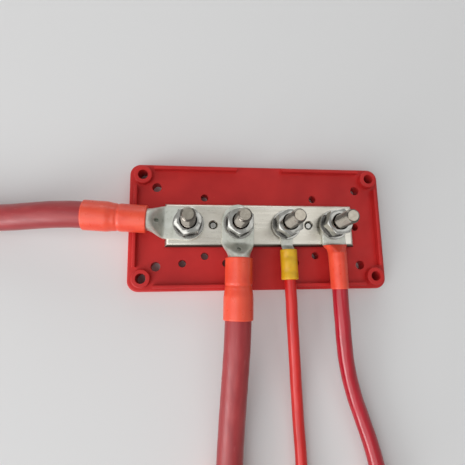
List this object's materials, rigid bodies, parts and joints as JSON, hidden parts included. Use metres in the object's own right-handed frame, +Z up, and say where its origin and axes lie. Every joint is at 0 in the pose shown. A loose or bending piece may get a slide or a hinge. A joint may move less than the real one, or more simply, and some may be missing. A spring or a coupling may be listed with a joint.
{
  "type": "bus bar",
  "caption": "Power distribution bus bar: a tinned copper bar with threaded studs on a red moulded base, with crimped cable leads clamped under hex nuts.",
  "frame": {"origin": "centre of the base's underside", "axes": "+X along the bar, towards the end without the side lead; +Y away from the leads; +Z up along the studs"},
  "size_m": [0.2485, 0.1871, 0.033],
  "materials": {
    "red_base": "satin moulded, fine grain",
    "tinned_bar": "tin-plated copper, soft sheen",
    "stud_steel": "threaded, dull",
    "zinc_steel": "bright zinc plate",
    "tinned_lug": "tin-plated copper tube, pressed",
    "copper_strand": "crimped copper strands",
    "heat_shrink": "shrunk tubing, soft gloss",
    "cable_red": "dull flexible jacket",
    "cable_crimson": "glossy jacket",
    "wire_red": "soft gloss insulation",
    "yellow_sleeve": "translucent moulded sleeve"
  },
  "bodies": {
    "root": {"base": "red_base", "bar": "tinned_bar", "stud_bolts": "stud_steel", "bar_screws": "zinc_steel", "flat_washers": "zinc_steel", "spring_washers": "zinc_steel", "nuts": "zinc_steel", "left_lug": "tinned_lug", "left_conductor": "copper_strand", "left_shrink": "heat_shrink", "left_cable": "cable_red", "left_far_shrink": "heat_shrink", "left_far_lug": "tinned_lug", "centre_lug": "tinned_lug", "centre_conductor": "copper_strand", "centre_shrink": "heat_shrink", "centre_cable": "cable_red", "centre_far_shrink": "heat_shrink", "centre_far_lug": "tinned_lug", "ring_terminal": "tinned_lug", "thin_conductor": "copper_strand", "terminal_sleeve": "yellow_sleeve", "thin_wire": "wire_red", "far_terminal_sleeve": "yellow_sleeve", "far_ring_terminal": "tinned_lug", "right_lug": "tinned_lug", "right_conductor": "copper_strand", "right_shrink": "heat_shrink", "right_cable": "cable_crimson", "right_far_shrink": "heat_shrink", "right_far_lug": "tinned_lug"}
  },
  "joints": []
}
